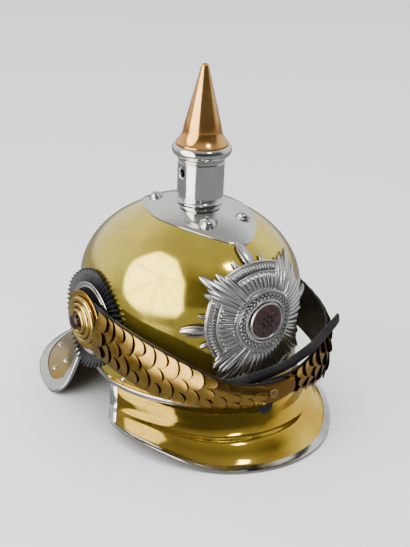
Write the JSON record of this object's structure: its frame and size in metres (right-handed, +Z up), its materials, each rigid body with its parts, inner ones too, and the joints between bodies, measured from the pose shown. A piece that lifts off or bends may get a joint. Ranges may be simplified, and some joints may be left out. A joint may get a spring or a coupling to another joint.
{
  "type": "military helmet",
  "caption": "Historic cavalry helmet: brass skull, stepped visor, flared neck guard, removable spike, star front plate, side bosses with cockades and swinging chin scales.",
  "frame": {"origin": "centre of the bounding box, on the plane that the visor rim and the neck guard rim stand on", "axes": "+Z up, the front and its star towards -Y, the wearer's left towards +X"},
  "size_m": [0.2272, 0.3232, 0.3109],
  "materials": {
    "skull_brass": "polished",
    "trim_silver": "polished nickel silver",
    "fitting_silver": "polished nickel silver",
    "fixing_brass": "turned",
    "spike_copper": "polished, coppery",
    "star_silver": "pressed and tarnished in the flutes",
    "enamel": "dark enamel",
    "cockade_leather": "pleated, black lacquer",
    "cockade_ring_silver": "worn",
    "boss_brass": "turned",
    "dark_screw": "darkened",
    "steel_post": "plain",
    "strap_leather": "black, smooth",
    "scale_brass": "pressed and polished",
    "lining_leather": "plain, brown",
    "lining_cord": "plaited cord"
  },
  "bodies": {
    "helmet": {"skull": "skull_brass", "front_visor": "skull_brass", "neck_guard": "skull_brass", "visor_joint_band": "trim_silver", "ear_trims": "trim_silver", "neck_joint_band": "trim_silver", "visor_trim": "trim_silver", "neck_guard_trim": "trim_silver", "skull_rivets": "trim_silver", "neck_guard_rivets": "trim_silver", "base_plate": "fitting_silver", "dome_studs": "fitting_silver", "spike_collar": "fitting_silver", "dome_stud_nuts": "fixing_brass", "star_nuts": "fixing_brass", "star_plate": "star_silver", "star_outer_band": "star_silver", "star_ring": "star_silver", "star_posts": "star_silver", "star_roundel": "enamel", "right_cockade": "cockade_leather", "left_cockade": "cockade_leather", "right_cockade_ring": "cockade_ring_silver", "left_cockade_ring": "cockade_ring_silver", "right_boss": "boss_brass", "left_boss": "boss_brass", "right_boss_screw": "dark_screw", "left_boss_screw": "dark_screw", "right_pivot_post": "steel_post", "left_pivot_post": "steel_post", "sweatband": "lining_leather", "crown_lining": "lining_leather", "visor_lining": "lining_leather", "neck_guard_lining": "lining_leather", "lining_cord": "lining_cord"},
    "spike": {"spike_cone": "spike_copper"},
    "right_chinscales": {"right_strap_leather": "strap_leather", "right_scales": "scale_brass", "right_root_plate": "boss_brass", "right_end_plate": "scale_brass", "strap_free_end": "strap_leather"},
    "left_chinscales": {"left_strap_leather": "strap_leather", "left_scales": "scale_brass", "left_root_plate": "boss_brass", "left_end_plate": "scale_brass", "closing_stud": "scale_brass", "leather_tab": "strap_leather"}
  },
  "joints": [
    {"name": "spike_lift", "type": "slide", "parent": "helmet", "child": "spike", "axis": [0, 0, 1], "range_m": [0, 0.06]},
    {"name": "right_chinscales_hinge", "type": "hinge", "parent": "helmet", "child": "right_chinscales", "pos_m": [0, 0.00288, 0.0925], "axis": [-1, 0, 0], "range_deg": [0, 65]},
    {"name": "left_chinscales_hinge", "type": "hinge", "parent": "helmet", "child": "left_chinscales", "pos_m": [0, 0.00288, 0.0925], "axis": [-1, 0, 0], "range_deg": [0, 65]}
  ],
  "couplings": [
    {"joint": "left_chinscales_hinge", "follows": "right_chinscales_hinge", "ratio": 1}
  ]
}
